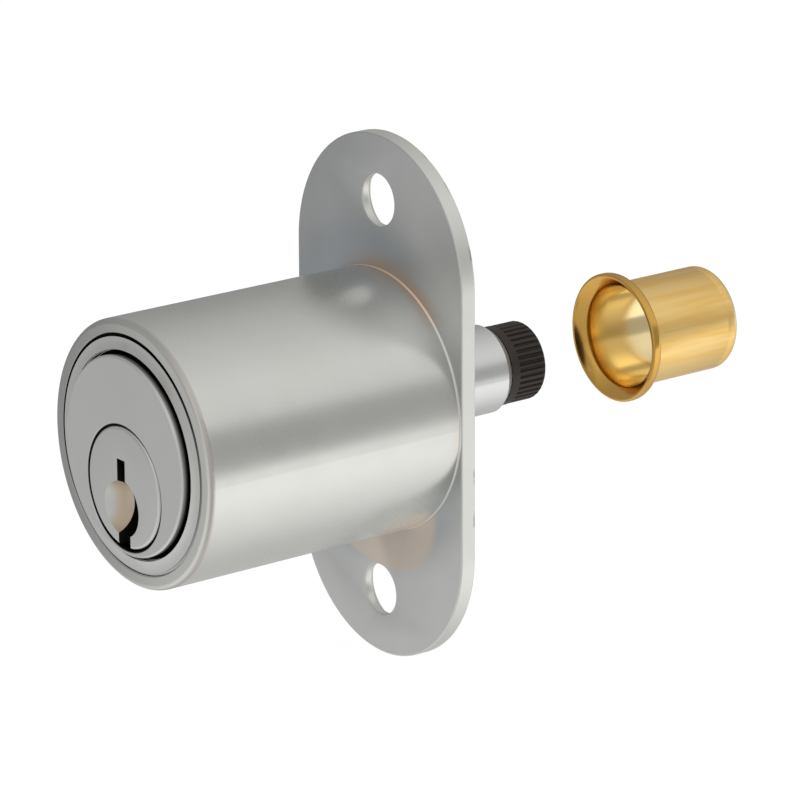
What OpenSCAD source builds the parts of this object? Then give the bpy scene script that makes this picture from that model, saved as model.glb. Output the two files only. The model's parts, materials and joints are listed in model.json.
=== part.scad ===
// Plunger lock with a flanged barrel and a loose strike bush.
// The lock axis is Y: the face looks along -Y and the plunger leaves along +Y, with +Z up.
// The origin is on the barrel's axis, in the flange face that lies against the door.
// It is drawn pushed in, with the plunger out at the back and the pins lifted to the shear line.

/* [Barrel] */
// Outer diameter of the barrel
barrel_d = 28; // [27:0.5:36]
// Length of the barrel, from its front rim to the flange
barrel_l = 31; // [30.5:0.5:40]
// Wall of the barrel
barrel_wall = 1.55; // [1.3:0.05:1.6]
// Rounding of the barrel's front rim
rim_round = 0.6; // [0.1:0.05:0.8]
// Chamfer on the inner edge of that rim
rim_chamfer = 0.12; // [0.05:0.01:0.2]
// Depth of the latch pockets and the guide groove in the barrel's wall
groove_depth = 0.75; // [0.6:0.05:0.9]

/* [Flange] */
// How far the flange stands out on each side of the barrel
flange_edge = 0.15; // [0:0.05:3]
// Height of the flange
flange_h = 56.5; // [52:0.5:70]
// Thickness of the flange
flange_t = 1.75; // [1.5:0.05:3]
// Distance from the flange's end to the middle of the screw hole
screw_edge = 6.95; // [6:0.05:8]
// Diameter of the screw holes
screw_d = 5.5; // [3.5:0.1:6]
// Width of the countersinks around the screw holes, at the back of the flange
sink_w = 0.85; // [0.4:0.05:1.2]

/* [Carrier and travel] */
// How far the cylinder jumps out when the lock is opened
throw = 11; // [8:0.5:11]
// Radial running clearance of the carrier in the barrel
carrier_fit = 0.05; // [0.03:0.01:0.1]
// How far the carrier's rim stands out of the barrel
carrier_proud = 0; // [0:0.05:0.8]
// Gap between the carrier's rim and the barrel, beyond the running clearance
rim_gap = 0.25; // [0.1:0.05:0.4]
// Depth of that gap
rim_gap_depth = 1.2; // [0.6:0.1:1.6]
// Wall of the carrier around the cylinder body
carrier_wall = 1.87; // [1.6:0.01:2.2]
// Thickness of the plate that closes the carrier
back_t = 1.6; // [1.4:0.1:2]
// Rim of the carrier around the plate that closes it
back_rim = 0.95; // [0.8:0.05:1.2]
// Depth of the latch room behind the cylinder
latch_room = 4; // [3.8:0.1:4.4]
// Wall of the carrier around the latch room
room_wall = 2.8; // [2.4:0.1:3.2]
// Diameter of the anti-turn guide pin
guide_pin_d = 2; // [1.4:0.1:2.4]

/* [Cylinder] */
// How far the cylinder's face stands out of the barrel
core_proud = 0.95; // [0.4:0.05:1.5]
// Clearance between the cylinder body and the carrier
core_fit = 0.03; // [0.01:0.01:0.06]
// Width of the dark groove around the cylinder's face
face_gap = 0.32; // [0.15:0.01:0.4]
// Depth of that groove
face_gap_depth = 1.4; // [1:0.1:2]
// How much smaller the cylinder's face is in radius than its body
face_step = 0.1; // [0:0.02:0.3]
// Chamfer on the edge of the cylinder's face
core_chamfer = 0.2; // [0.05:0.05:0.4]

/* [Plug] */
// Diameter of the plug behind its head
plug_d = 12.2; // [11.6:0.1:12.8]
// How far the plug's head stands out around the plug
head_step = 0.3; // [0.2:0.05:0.5]
// Length of the plug's head
plug_head_l = 1.6; // [1.2:0.1:2]
// Radial running clearance of the plug
plug_fit = 0.05; // [0.03:0.01:0.08]
// Metal left under the plug in the cylinder body
plug_floor = 0.72; // [0.6:0.02:0.8]
// How far the plug's face stands out of the cylinder's face
plug_proud = 0.05; // [0:0.05:0.5]
// Rounding of the plug's front edge
plug_round = 0.4; // [0.2:0.05:0.7]
// Length of the plug's tail behind the cylinder body
plug_tail = 0.9; // [0.8:0.05:1]
// Thickness of the ring that holds the plug in
clip_t = 0.5; // [0.4:0.05:0.6]
// How far that ring stands out around the plug
clip_w = 0.8; // [0.6:0.05:1]

/* [Keyway and pins] */
// Width of the keyway's upper part
key_top_w = 1.4; // [1.1:0.05:1.5]
// Width of the keyway's lower part
key_low_w = 2.1; // [1.9:0.05:2.4]
// Height of the keyway's top above the plug's centre
key_top_z = 2.9; // [2.6:0.1:3.4]
// Radius of the hollow that guides the key in
scoop_r = 3.2; // [2.6:0.05:3.3]
// Distance from one pin to the next
pin_pitch = 3.2; // [3:0.05:3.3]
// Diameter of the pins
pin_d = 2.6; // [2.3:0.05:2.7]
// Clearance around the pins
pin_fit = 0.05; // [0.03:0.01:0.08]
// Length of the pin springs with the pins lifted
pin_spring_l = 2.6; // [2.4:0.1:3]
// Distance from the cylinder's face to the first pin
first_pin = 3; // [2.9:0.1:3.4]
// Least distance from the last pin to the back of the cylinder body
last_pin = 2; // [1.8:0.1:2.6]
// Thickness of the strip that closes the pin chambers
strip_t = 1; // [0.6:0.05:1.1]
// Width of that strip
strip_w = 4; // [3.4:0.1:4.6]

/* [Latch] */
// Travel of the latch bolt
latch_throw = 1.05; // [0.8:0.05:1.1]
// Width of the latch bolt's tongue
tongue_w = 5; // [4:0.2:5.4]
// Thickness of the latch bolt
latch_t = 2; // [1.6:0.1:2.2]
// Diameter of the eccentric that moves the latch bolt
cam_d = 5.2; // [4.8:0.1:5.6]
// Gap between the eccentric and the latch bolt
cam_fit = 0.08; // [0.06:0.01:0.12]
// Turn of the key from free to locked, in degrees
key_turn = 90; // [60:5:90]

/* [Plunger] */
// Height of the plunger's axis above the barrel's axis
plunger_z = 0.45; // [0:0.05:0.8]
// Diameter of the plunger
plunger_d = 9.5; // [8.5:0.1:9.9]
// Length of the plunger behind the flange face, up to its black tip
plunger_out = 14.4; // [12:0.1:20]
// Chamfer at the plunger's end, along its length
plunger_chamfer = 0.9; // [0.4:0.1:1.2]
// Diameter of the stud that is riveted in the carrier
stud_d = 6; // [5:0.1:6.6]
// How much smaller the tip's radius is than the plunger's
tip_step = 0.5; // [0.3:0.05:0.8]
// Length of the tip
tip_l = 4.7; // [3.5:0.1:7]
// Length of the plain band next to the plunger
tip_band = 1; // [0.6:0.1:1.5]
// Number of ribs on the tip
rib_count = 38; // [24:1:44]
// Depth of the ribs
rib_depth = 0.22; // [0.1:0.02:0.3]
// Rounding at the end of the tip
tip_round = 0.7; // [0.3:0.05:0.9]
// Diameter of the spigot inside the tip
spigot_d = 5; // [4:0.1:5.6]

/* [Rear bearing] */
// Thickness of the end cap inside the barrel
cap_t = 2; // [1.6:0.1:2.4]
// Wall of the bearing bush
bearing_wall = 1.4; // [1:0.1:1.6]
// Radial running clearance of the plunger in its bearing bush
bearing_fit = 0.05; // [0.03:0.01:0.08]
// How far the bearing bush's flange stands out around it
bearing_rim = 1.2; // [1:0.1:1.6]
// Thickness of the bearing bush's flange
bearing_flange_t = 0.6; // [0.4:0.05:0.8]
// Wall of the end cap's boss around the bearing bush
boss_wall = 2.24; // [1.8:0.02:2.6]

/* [Return spring] */
// Length of the return spring with the cylinder pushed in
return_l = 5.6; // [5:0.1:6]
// Gap between the plunger and the return spring
return_gap = 1.4; // [1.2:0.1:1.8]
// Wire of the return spring
return_wire = 0.7; // [0.6:0.05:0.75]
// Number of curls of the return spring
return_turns = 4; // [3:1:4]

/* [Small springs] */
// Wire of the pin springs
pin_wire = 0.3; // [0.25:0.01:0.35]
// Number of curls of each pin spring
pin_turns = 3; // [2:1:3]
// Middle diameter of the latch spring
latch_spring_d = 2.4; // [2:0.1:2.8]
// Wire of the latch spring
latch_wire = 0.35; // [0.3:0.01:0.4]
// Number of curls of the latch spring
latch_turns = 4; // [3:1:4]

/* [Strike bush] */
// Distance from the flange face to the bush's rim, as it stands in front of the plunger
bush_y = 31.3; // [20:0.1:50]
// Radial clearance of the plunger in the bush
bush_fit = 0.65; // [0.3:0.05:1.5]
// Wall of the bush
bush_wall = 0.3; // [0.25:0.05:0.5]
// Length of the bush
bush_l = 13.4; // [9:0.1:20]
// How far the bush's rolled rim stands out around its tube
bush_rim_w = 1.35; // [1.2:0.05:3]
// Thickness of the bush's rolled rim
bush_rim_t = 1.3; // [1:0.1:2]
// Radius on the outside of the bush's far end
bush_end_round = 1; // [0.8:0.1:1.2]
// How far the bush's far end is curled inwards
bush_curl = 0.5; // [0.4:0.05:0.5]

/* [Hidden] */
$fn = 64;
eps = 0.02;
barrel_r = barrel_d / 2;
front_y = -barrel_l;
bore_r = barrel_r - barrel_wall;
groove_r = bore_r + groove_depth;
carrier_r = bore_r - carrier_fit;
carrier_y = front_y - carrier_proud;
flange_w = barrel_d + 2 * flange_edge;
screw_z = flange_h / 2 - screw_edge;

cap_y = -cap_t;
cap_fit = 0.03;
bearing_y = cap_y - bearing_flange_t;
carrier_back_y = bearing_y - return_l;
room_back_y = carrier_back_y - back_t;
core_back_y = room_back_y - latch_room;
core_y = front_y - core_proud;
core_l = core_back_y - core_y;
core_bore_r = carrier_r - carrier_wall;
core_r = core_bore_r - core_fit;
face_r = core_r - face_step;
face_l = carrier_y + face_gap_depth - core_y;
room_r = carrier_r - room_wall;
back_r = carrier_r - back_rim;
back_fit = 0.03;

plug_r = plug_d / 2;
head_r = plug_r + head_step;
head_bore_r = head_r + plug_fit;
mouth_w = 0.3;
plug_bore_r = plug_r + plug_fit;
plug_z = -(core_r - head_bore_r - plug_floor);
plug_y = core_y - plug_proud;
head_back_y = core_y + plug_head_l;
plug_back_y = core_back_y + plug_tail;
clip_depth = 0.5;
clip_groove_r = plug_r - clip_depth;
clip_r = plug_r + clip_w;
clip_gap = 0.08;
clip_room = 0.3;
clip_mouth = 3;

pin_r = pin_d / 2;
pin_bore_r = pin_r + pin_fit;
key_x = -0.4;
key_step = 0.05;
pin_reach = pin_r + abs(key_x);
shear_gap = 0.02;
key_pin_top = plug_z + sqrt(plug_r * plug_r - pin_reach * pin_reach) - shear_gap;
driver_z = plug_z + plug_bore_r + shear_gap;
strip_reach = strip_w / 2 + abs(key_x);
strip_sink = 0.03;
chamber_top = sqrt(core_r * core_r - strip_reach * strip_reach) - strip_sink - strip_t;
pin_spring_z = chamber_top - pin_spring_l;
driver_l = pin_spring_z - driver_z;
key_cuts = [3.4, 4.5, 3.8, 4.8, 4.1];
pin_floor = 0.8;
key_pin_tip = 0.8;
pin_edge = 0.15;
pin_count = 1 + floor((core_l - first_pin - last_pin) / pin_pitch);
last_pin_y = core_y + first_pin + (pin_count - 1) * pin_pitch;
keyway_end = 0.4;
keyway_back_y = last_pin_y + pin_bore_r - keyway_end;

latch_angle = key_turn / 2;
cam_offset = latch_throw / (2 * sin(latch_angle));
cam_r = cam_d / 2;
yoke_half = cam_r + cam_fit;
cam_rest_z = plug_z + cam_offset * sin(latch_angle);
cam_rest_x = cam_offset * cos(latch_angle);
latch_margin = (latch_room - plug_tail - latch_t) / 2;
latch_y = plug_back_y + latch_margin;
latch_rim = 1.3;
pocket_fit = 0.15;
latch_frame_w = 2 * (yoke_half + cam_offset + latch_rim);
latch_top_z = cam_rest_z + yoke_half + latch_rim;
tongue_half = tongue_w / 2;
latch_sink = 0.15;
latch_tip_z = -(sqrt(carrier_r * carrier_r - tongue_half * tongue_half) - latch_sink);
pocket_z = latch_tip_z - latch_throw - pocket_fit;
latch_side_fit = 0.1;
latch_spring_top = 5.6;
cam_gap = 0.3;
cam_t = room_back_y - plug_back_y - cam_gap;
cam_screw_r = 1;
cam_head_r = 1.5;
cam_head_h = 0.8;
cam_screw_in = 1.6;
cam_screw_sink = 0.2;

guide_y = core_back_y + latch_room / 2;
guide_r = guide_pin_d / 2;
guide_fit = 0.08;
guide_tip_gap = 0.15;
guide_tip_r = groove_r - guide_tip_gap;
guide_wall = 0.4;
guide_seat_r = room_r + guide_wall;

plunger_r = plunger_d / 2;
bearing_bore_r = plunger_r + bearing_fit;
bearing_r = bearing_bore_r + bearing_wall;
tip_r = plunger_r - tip_step;
boss_r = bearing_r + cap_fit + boss_wall;
lip_h = 0.5;
lip_r = boss_r + lip_h;
return_r = plunger_r + return_gap + return_wire / 2;
stud_r = stud_d / 2;
stud_fit = 0.02;
rivet_h = 0.7;
rivet_w = 0.6;
tip_shoulder = 0.1;
spigot_gap = 0.05;
spigot_end = 0.8;
rib_sink = 0.03;

bush_bore_r = plunger_r + bush_fit;
bush_r = bush_bore_r + bush_wall;
mouth_round = 1;

screw_r = 0.8;
screw_hole_r = 1.1;
screw_head_r = 2;
screw_head_h = 0.9;
screw_fit = 0.05;
cross_w = 0.4;
cross_depth = 0.4;
cross_l = 2;
back_screw_at = room_r - 1.5;
back_screw_angle = 45;
back_screw_l = 2.2;
core_screw_r = 1.5;
core_screw_in = core_r - 1.6;
core_screw_out = carrier_r - 0.4;
core_socket_r = 0.85;
core_socket_h = 1.2;
cover_room = 0.3;
cover_from = core_y + first_pin - pin_r - cover_room;
cover_l = (pin_count - 1) * pin_pitch + pin_d + 2 * cover_room;
pin_spring_r = pin_r - 0.1 - pin_wire / 2;
scoop_tilt = 48;
scoop_x = -0.2;
scoop_out = 0.55;
scoop_drop = 2.33;
tang_h = 0.6;
tang_w = 1.8;
tang_l = 4;
coil_rings = 8;

// Sets what is drawn along +Z along the lock axis, starting at height z and place y.
module along(y, z = 0, x = 0) {
  translate([x, y, z]) rotate([-90, 0, 0]) children();
}

// Plain bar along the lock axis, from one place to another.
module bar(r, from, to, z = 0, x = 0) {
  along(from, z, x) cylinder(r = r, h = to - from);
}

// Ring along the lock axis.
module ring(outer, inner, from, to, z = 0) {
  difference() {
    bar(outer, from, to, z);
    bar(inner, from - 1, to + 1, z);
  }
}

// What a rounding takes off a corner whose metal lies to the left and above.
module corner_cut(r) {
  difference() {
    translate([-r, -1]) square([r + 1, r + 1]);
    translate([-r, r]) circle(r);
  }
}

// Wire of a coil spring as one unbroken tube of 6 sides, along +Z, with a straight tip at both ends.
function coil_centre(i, r, wire, turns, l) =
  let (n = turns * coil_rings, k = min(max(i, 0), n), a = 360 * k / coil_rings,
       over = i < 0 ? -wire : i > n ? wire : 0)
  [r * cos(a) - over * sin(a), r * sin(a) + over * cos(a), wire / 2 + (l - wire) * k / n];
function coil_ring(i, r, wire, turns, l) =
  let (n = turns * coil_rings, k = min(max(i, 0), n), a = 360 * k / coil_rings,
       c = coil_centre(i, r, wire, turns, l))
  [for (s = [0:5]) c + wire / 2 * [cos(60 * s) * cos(a), cos(60 * s) * sin(a), sin(60 * s)]];
function coil_gap(r, wire, turns, l) =
  let (n = turns * coil_rings, c = [for (i = [-1:n + 1]) coil_centre(i, r, wire, turns, l)])
  min([for (i = [0:len(c) - 1], j = [i + 5:1:len(c) - 1]) norm(c[i] - c[j])]) - wire;

module coil(r, wire, turns, l) {
  n = turns * coil_rings;
  points = [for (i = [-1:n + 1]) each coil_ring(i, r, wire, turns, l)];
  last = 6 * (n + 2);
  sides = [for (i = [0:n + 1], s = [0:5])
    let (a = 6 * i + s, b = 6 * i + (s + 1) % 6)
    each [[a, a + 6, b], [b, a + 6, b + 6]]];
  ends = [for (s = [1:4]) each [[0, s, s + 1], [last, last + s + 1, last + s]]];
  polyhedron(points, concat(sides, ends));
}

module housing() {
  color("silver") difference() {
    along(front_y) rotate_extrude() difference() {
      translate([bore_r, 0]) square([barrel_wall, barrel_l]);
      translate([barrel_r, 0]) corner_cut(rim_round);
      translate([bore_r, 0]) rotate(45) square(sqrt(2) * rim_chamfer, center = true);
    }
    latch_pocket(0);
    latch_pocket(-throw);
    guide_groove();
  }
}

// Pocket in the barrel's wall that the latch bolt drops into.
module latch_pocket(shift) {
  translate([-tongue_half - pocket_fit, latch_y - pocket_fit + shift, pocket_z])
    cube([tongue_w + 2 * pocket_fit, latch_t + 2 * pocket_fit, -pocket_z]);
}

// Groove along the barrel's wall that keeps the carrier from turning and stops it at the front.
module guide_groove() {
  half = guide_r + guide_fit;
  start = guide_y - throw - half;
  translate([0, start, -half]) cube([groove_r, 1 - start, 2 * half]);
}

module flange_plate() {
  end_r = flange_w / 2;
  centre_z = flange_h / 2 - end_r;
  color("silver") difference() {
    union() {
      translate([-end_r, 0, -centre_z]) cube([flange_w, flange_t, 2 * centre_z]);
      for (s = [-1, 1]) bar(end_r, 0, flange_t, s * centre_z);
    }
    bar(boss_r + cap_fit, -1, flange_t + 1, plunger_z);
    along(flange_t - lip_h, plunger_z)
      cylinder(r1 = boss_r + cap_fit, r2 = lip_r + cap_fit + eps, h = lip_h + eps);
    for (s = [-1, 1]) screw_hole(s * screw_z);
  }
}

// Screw hole with its countersink at the back.
module screw_hole(z) {
  hole_r = screw_d / 2;
  bar(hole_r, -1, flange_t + 1, z);
  along(flange_t - sink_w, z) cylinder(r1 = hole_r, r2 = hole_r + sink_w + eps, h = sink_w + eps);
}

module end_cap() {
  color("gray") difference() {
    union() {
      bar(bore_r - cap_fit, cap_y, 0);
      bar(boss_r, -0.5, flange_t, plunger_z);
      along(flange_t - lip_h, plunger_z) cylinder(r1 = boss_r, r2 = lip_r, h = lip_h);
    }
    bar(bearing_r + cap_fit, cap_y - 1, flange_t + 1, plunger_z);
  }
}

module guide_bush() {
  color("goldenrod") {
    ring(bearing_r, bearing_bore_r, cap_y, flange_t, plunger_z);
    ring(bearing_r + bearing_rim, bearing_bore_r, bearing_y, cap_y, plunger_z);
  }
}

module carrier() {
  color("lightgray") difference() {
    union() {
      difference() {
        bar(carrier_r, carrier_y, carrier_back_y);
        ring(carrier_r + 1, carrier_r - rim_gap, carrier_y - 1, carrier_y + rim_gap_depth);
        bar(core_r + face_gap, carrier_y - 1, carrier_y + face_gap_depth);
        bar(core_bore_r, carrier_y, core_back_y);
        bar(room_r, core_back_y - eps, room_back_y + eps);
        bar(back_r + back_fit, room_back_y, carrier_back_y + 1);
        bar(clip_r + clip_room, core_back_y - eps, core_back_y + clip_gap + clip_t + clip_room, plug_z);
      }
      latch_spring_seat();
      for (s = [-1, 1]) back_screw_boss(s);
    }
    latch_slot();
    translate([guide_seat_r, guide_y, 0]) rotate([0, 90, 0]) cylinder(r = guide_r + 0.01, h = carrier_r);
    core_screw_hole();
    for (s = [-1, 1])
      at_back_screw(s, room_back_y - back_screw_l - screw_fit) cylinder(r = screw_r, h = latch_room);
  }
}

// Slot in the carrier's wall that the latch bolt's tongue leaves through.
module latch_slot() {
  translate([-tongue_half - latch_side_fit, latch_y - latch_side_fit, -carrier_r - 1])
    cube([tongue_w + 2 * latch_side_fit, latch_t + 2 * latch_side_fit, carrier_r - room_r + 3]);
}

// Web in the latch room that the latch spring pushes against.
module latch_spring_seat() {
  half = latch_spring_d / 2 + 0.8;
  intersection() {
    translate([-half, core_back_y, latch_spring_top]) cube([2 * half, latch_room, room_r]);
    bar(room_r + 0.5, core_back_y, room_back_y);
  }
}

// Two screws hold the back plate, at the sides of the latch room.
module at_back_screw(side, y) {
  rotate([0, side * back_screw_angle, 0]) translate([0, y, back_screw_at]) rotate([-90, 0, 0]) children();
}

module back_screw_boss(side) {
  intersection() {
    at_back_screw(side, core_back_y) cylinder(r = 2 * screw_r, h = latch_room);
    bar(room_r + 0.5, core_back_y, room_back_y);
  }
}

module core_screw_hole() {
  translate([-carrier_r - 1, core_y + core_l / 2, 0]) rotate([0, 90, 0])
    cylinder(r = core_screw_r, h = carrier_r + 1 - core_screw_in);
}

module core_screw() {
  color("dimgray") translate([0, core_y + core_l / 2, 0]) rotate([0, -90, 0]) difference() {
    translate([0, 0, core_screw_in]) cylinder(r = core_screw_r - eps, h = core_screw_out - core_screw_in);
    translate([0, 0, core_screw_out - core_socket_h])
      cylinder(r = core_socket_r, h = 2 * core_socket_h, $fn = 6);
  }
}

module guide_pin() {
  color("dimgray") translate([guide_seat_r, guide_y, 0]) rotate([0, 90, 0])
    cylinder(r = guide_r, h = guide_tip_r - guide_seat_r);
}

module back_plate() {
  color("gray") difference() {
    bar(back_r, room_back_y, carrier_back_y);
    bar(stud_r + stud_fit, room_back_y - 1, carrier_back_y + 1, plunger_z);
    along(room_back_y - eps, plunger_z)
      cylinder(r1 = stud_r + rivet_w + stud_fit, r2 = stud_r + stud_fit, h = rivet_h + eps);
    for (s = [-1, 1]) {
      at_back_screw(s, room_back_y - 1) cylinder(r = screw_hole_r, h = back_t + 2);
      at_back_screw(s, carrier_back_y - screw_head_h)
        cylinder(r1 = screw_hole_r, r2 = screw_head_r + eps, h = screw_head_h + eps);
    }
  }
}

module back_screws() {
  head_z = back_screw_l + back_t - screw_head_h;
  color("dimgray") for (s = [-1, 1]) at_back_screw(s, room_back_y - back_screw_l) difference() {
    union() {
      cylinder(r = screw_r - eps, h = head_z + screw_fit);
      translate([0, 0, head_z])
        cylinder(r1 = screw_hole_r - screw_fit, r2 = screw_head_r - screw_fit, h = screw_head_h);
    }
    translate([0, 0, head_z + screw_head_h - cross_depth]) cross_slot();
  }
}

module lock_core() {
  color("darkgray") difference() {
    along(core_y) rotate_extrude() polygon([
      [0, 0], [face_r - core_chamfer, 0], [face_r, core_chamfer], [face_r, face_l],
      [core_r, face_l], [core_r, core_l], [0, core_l]
    ]);
    bar(head_bore_r, core_y - 1, head_back_y + plug_fit, plug_z);
    bar(plug_bore_r, core_y, core_back_y + 1, plug_z);
    along(core_y - eps, plug_z)
      cylinder(r1 = head_bore_r + mouth_w, r2 = head_bore_r, h = mouth_w + eps);
    each_pin() translate([0, 0, plug_z]) cylinder(r = pin_bore_r, h = chamber_top - plug_z + eps);
    cover_slot();
    translate([0, core_y + core_l / 2, 0]) rotate([0, -90, 0])
      translate([0, 0, core_screw_in]) cylinder(r = core_screw_r, h = core_r);
  }
}

// Repeats something at the place of each pin.
module each_pin() {
  for (i = [0:pin_count - 1]) translate([key_x, core_y + first_pin + i * pin_pitch, 0]) children();
}

module cover_slot() {
  translate([key_x - strip_w / 2, cover_from, chamber_top]) cube([strip_w, cover_l, core_r]);
}

module pin_cover() {
  color("goldenrod") translate([key_x - strip_w / 2 + eps, cover_from + eps, chamber_top])
    cube([strip_w - 2 * eps, cover_l - 2 * eps, strip_t]);
}

// Pin with a chamfer at both ends, standing on the origin.
module pin(l, low, high) {
  cylinder(r1 = pin_r - low, r2 = pin_r, h = low);
  translate([0, 0, low]) cylinder(r = pin_r, h = l - low - high);
  translate([0, 0, l - high]) cylinder(r1 = pin_r, r2 = pin_r - high, h = high);
}

module key_pins() {
  color("goldenrod") for (i = [0:pin_count - 1])
    let (l = key_cuts[i % len(key_cuts)])
      translate([key_x, core_y + first_pin + i * pin_pitch, key_pin_top - l]) pin(l, key_pin_tip, pin_edge);
}

module driver_pins() {
  color("silver") each_pin() translate([0, 0, driver_z]) pin(driver_l, pin_edge, pin_edge);
}

module pin_springs() {
  color("lightgray") each_pin() translate([0, 0, pin_spring_z])
    coil(pin_spring_r, pin_wire, pin_turns, pin_spring_l);
}

// Keyway seen from the front: a narrow upper part over a wider lower part that is open below.
module keyway_outline() {
  left = key_x - key_top_w / 2;
  right = key_x + key_top_w / 2;
  low_left = left + key_step;
  polygon([
    [left, key_top_z], [right, key_top_z], [right, 0.4],
    [low_left + key_low_w, -0.9], [low_left + key_low_w, -head_r - 1], [low_left, -head_r - 1],
    [low_left, -0.7], [left, -0.4]
  ]);
}

// Hollow in front of the keyway, cut by a round-nosed tool that comes in slanting from the left.
module scoop() {
  translate([scoop_x, plug_y - scoop_out, plug_z - scoop_drop]) rotate([90, 0, -scoop_tilt]) {
    sphere(scoop_r);
    cylinder(r = scoop_r, h = 3 * scoop_r);
  }
}

module plug() {
  color("darkgray") difference() {
    union() {
      along(plug_y, plug_z) rotate_extrude() difference() {
        square([head_r, head_back_y - plug_y]);
        translate([head_r, 0]) corner_cut(plug_round);
      }
      bar(plug_r, head_back_y - eps, plug_back_y, plug_z);
      plug_tang(0);
    }
    translate([0, keyway_back_y, plug_z]) rotate([90, 0, 0])
      linear_extrude(keyway_back_y - plug_y + 1) keyway_outline();
    scoop();
    each_pin() translate([0, 0, plug_z + pin_floor]) cylinder(r = pin_bore_r, h = plug_r);
    ring(plug_r + 1, clip_groove_r, core_back_y + clip_gap, core_back_y + clip_gap + clip_t + 0.04, plug_z);
    bar(cam_screw_r, plug_back_y - cam_screw_in - screw_fit, plug_back_y + tang_l, plug_z);
  }
}

// Flat tongue on the plug's tail that turns the eccentric.
module plug_tang(fit) {
  translate([-tang_w / 2 - fit, plug_back_y - eps, plug_z - tang_l / 2 - fit])
    cube([tang_w + 2 * fit, tang_h + fit + eps, tang_l + 2 * fit]);
}

module plug_clip() {
  y = core_back_y + clip_gap + 0.02;
  color("dimgray") difference() {
    ring(clip_r, clip_groove_r + 0.03, y, y + clip_t, plug_z);
    translate([-clip_mouth / 2, y - 1, plug_z]) cube([clip_mouth, clip_t + 2, 2 * clip_r]);
  }
}

module cam() {
  color("gray") difference() {
    bar(cam_r, plug_back_y, plug_back_y + cam_t, cam_rest_z, cam_rest_x);
    plug_tang(0.03);
    bar(cam_screw_r + screw_fit, plug_back_y - 1, plug_back_y + cam_t + 1, plug_z);
    along(plug_back_y + cam_t - cam_head_h, plug_z)
      cylinder(r1 = cam_screw_r + screw_fit, r2 = cam_head_r + screw_fit, h = cam_head_h + eps);
  }
}

module cam_screw() {
  color("dimgray") difference() {
    union() {
      bar(cam_screw_r - eps, plug_back_y - cam_screw_in, plug_back_y + cam_t - cam_screw_sink, plug_z);
      along(plug_back_y + cam_t - cam_head_h, plug_z)
        cylinder(r1 = cam_screw_r, r2 = cam_head_r, h = cam_head_h);
    }
    along(plug_back_y + cam_t - cross_depth, plug_z) cross_slot();
  }
}

// Cross in a screw's head, cut upwards from the origin.
module cross_slot() {
  for (a = [0, 90]) rotate(a)
    translate([-cross_l / 2, -cross_w / 2, 0]) cube([cross_l, cross_w, 2 * cross_depth]);
}

// Bolt with a window for the eccentric and a tongue that leaves the carrier downwards.
module latch_bolt() {
  low = cam_rest_z - yoke_half - latch_rim;
  color("lightsteelblue") difference() {
    union() {
      translate([-latch_frame_w / 2, latch_y, low]) cube([latch_frame_w, latch_t, latch_top_z - low]);
      translate([-tongue_half, latch_y, latch_tip_z]) cube([tongue_w, latch_t, low - latch_tip_z + 0.5]);
    }
    translate([-latch_frame_w / 2 + latch_rim, latch_y - 1, cam_rest_z - yoke_half])
      cube([latch_frame_w - 2 * latch_rim, latch_t + 2, 2 * yoke_half]);
  }
}

module latch_spring() {
  color("lightgray") translate([0, latch_y + latch_t / 2, latch_top_z])
    coil(latch_spring_d / 2, latch_wire, latch_turns, latch_spring_top - latch_top_z);
}

module return_spring() {
  color("lightgray") along(carrier_back_y, plunger_z) coil(return_r, return_wire, return_turns, return_l);
}

module plunger_shaft() {
  face = tip_step + tip_shoulder;
  color("silver") {
    bar(plunger_r, carrier_back_y, plunger_out - plunger_chamfer, plunger_z);
    along(plunger_out - plunger_chamfer, plunger_z)
      cylinder(r1 = plunger_r, r2 = plunger_r - face, h = plunger_chamfer);
    bar(spigot_d / 2, plunger_out - eps, plunger_out + tip_l - spigot_end - spigot_gap, plunger_z);
    bar(stud_r, room_back_y, carrier_back_y + eps, plunger_z);
    along(room_back_y, plunger_z) cylinder(r1 = stud_r + rivet_w, r2 = stud_r, h = rivet_h);
  }
}

// Ribbed outline of the tip: each rib has a flat crest and a flat root.
module rib_outline() {
  step = 360 / rib_count;
  crest = tip_r - rib_sink;
  root = crest - rib_depth;
  polygon([for (i = [0:rib_count - 1]) each [
    for (p = [[crest, -0.30], [crest, 0.10], [root, 0.30], [root, 0.50]])
      p[0] * [cos((i + p[1]) * step), sin((i + p[1]) * step)]]]);
}

module plunger_tip() {
  color([0.12, 0.11, 0.11]) difference() {
    intersection() {
      union() {
        bar(tip_r, plunger_out, plunger_out + tip_band, plunger_z);
        along(plunger_out + tip_band / 2, plunger_z) linear_extrude(tip_l) rib_outline();
      }
      along(plunger_out + tip_l, plunger_z) mirror([0, 0, 1]) rotate_extrude() difference() {
        square([tip_r + 1, tip_l]);
        translate([tip_r, 0]) corner_cut(tip_round);
      }
    }
    bar(spigot_d / 2 + eps, plunger_out - 1, plunger_out + tip_l - spigot_end, plunger_z);
  }
}

module strike_bush() {
  rim_r = bush_r + bush_rim_w;
  half = bush_rim_t / 2;
  flare = rim_r - half - bush_bore_r;
  color("gold") along(bush_y, plunger_z) rotate_extrude() difference() {
    union() {
      translate([bush_bore_r, half]) square([bush_wall, bush_l - half - bush_end_round]);
      translate([bush_bore_r, 0]) square([flare, bush_rim_t]);
      translate([rim_r - half, half]) circle(half);
      intersection() {
        translate([bush_r - bush_end_round, bush_l - bush_end_round]) difference() {
          circle(bush_end_round);
          circle(bush_end_round - bush_wall);
        }
        translate([bush_r - bush_curl, bush_l - bush_end_round - eps]) square(2 * bush_end_round);
      }
    }
    translate([bush_bore_r, 0]) difference() {
      translate([-1, -1]) square([mouth_round + 1, mouth_round + 1]);
      translate([mouth_round, mouth_round]) circle(mouth_round);
    }
  }
}

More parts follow.
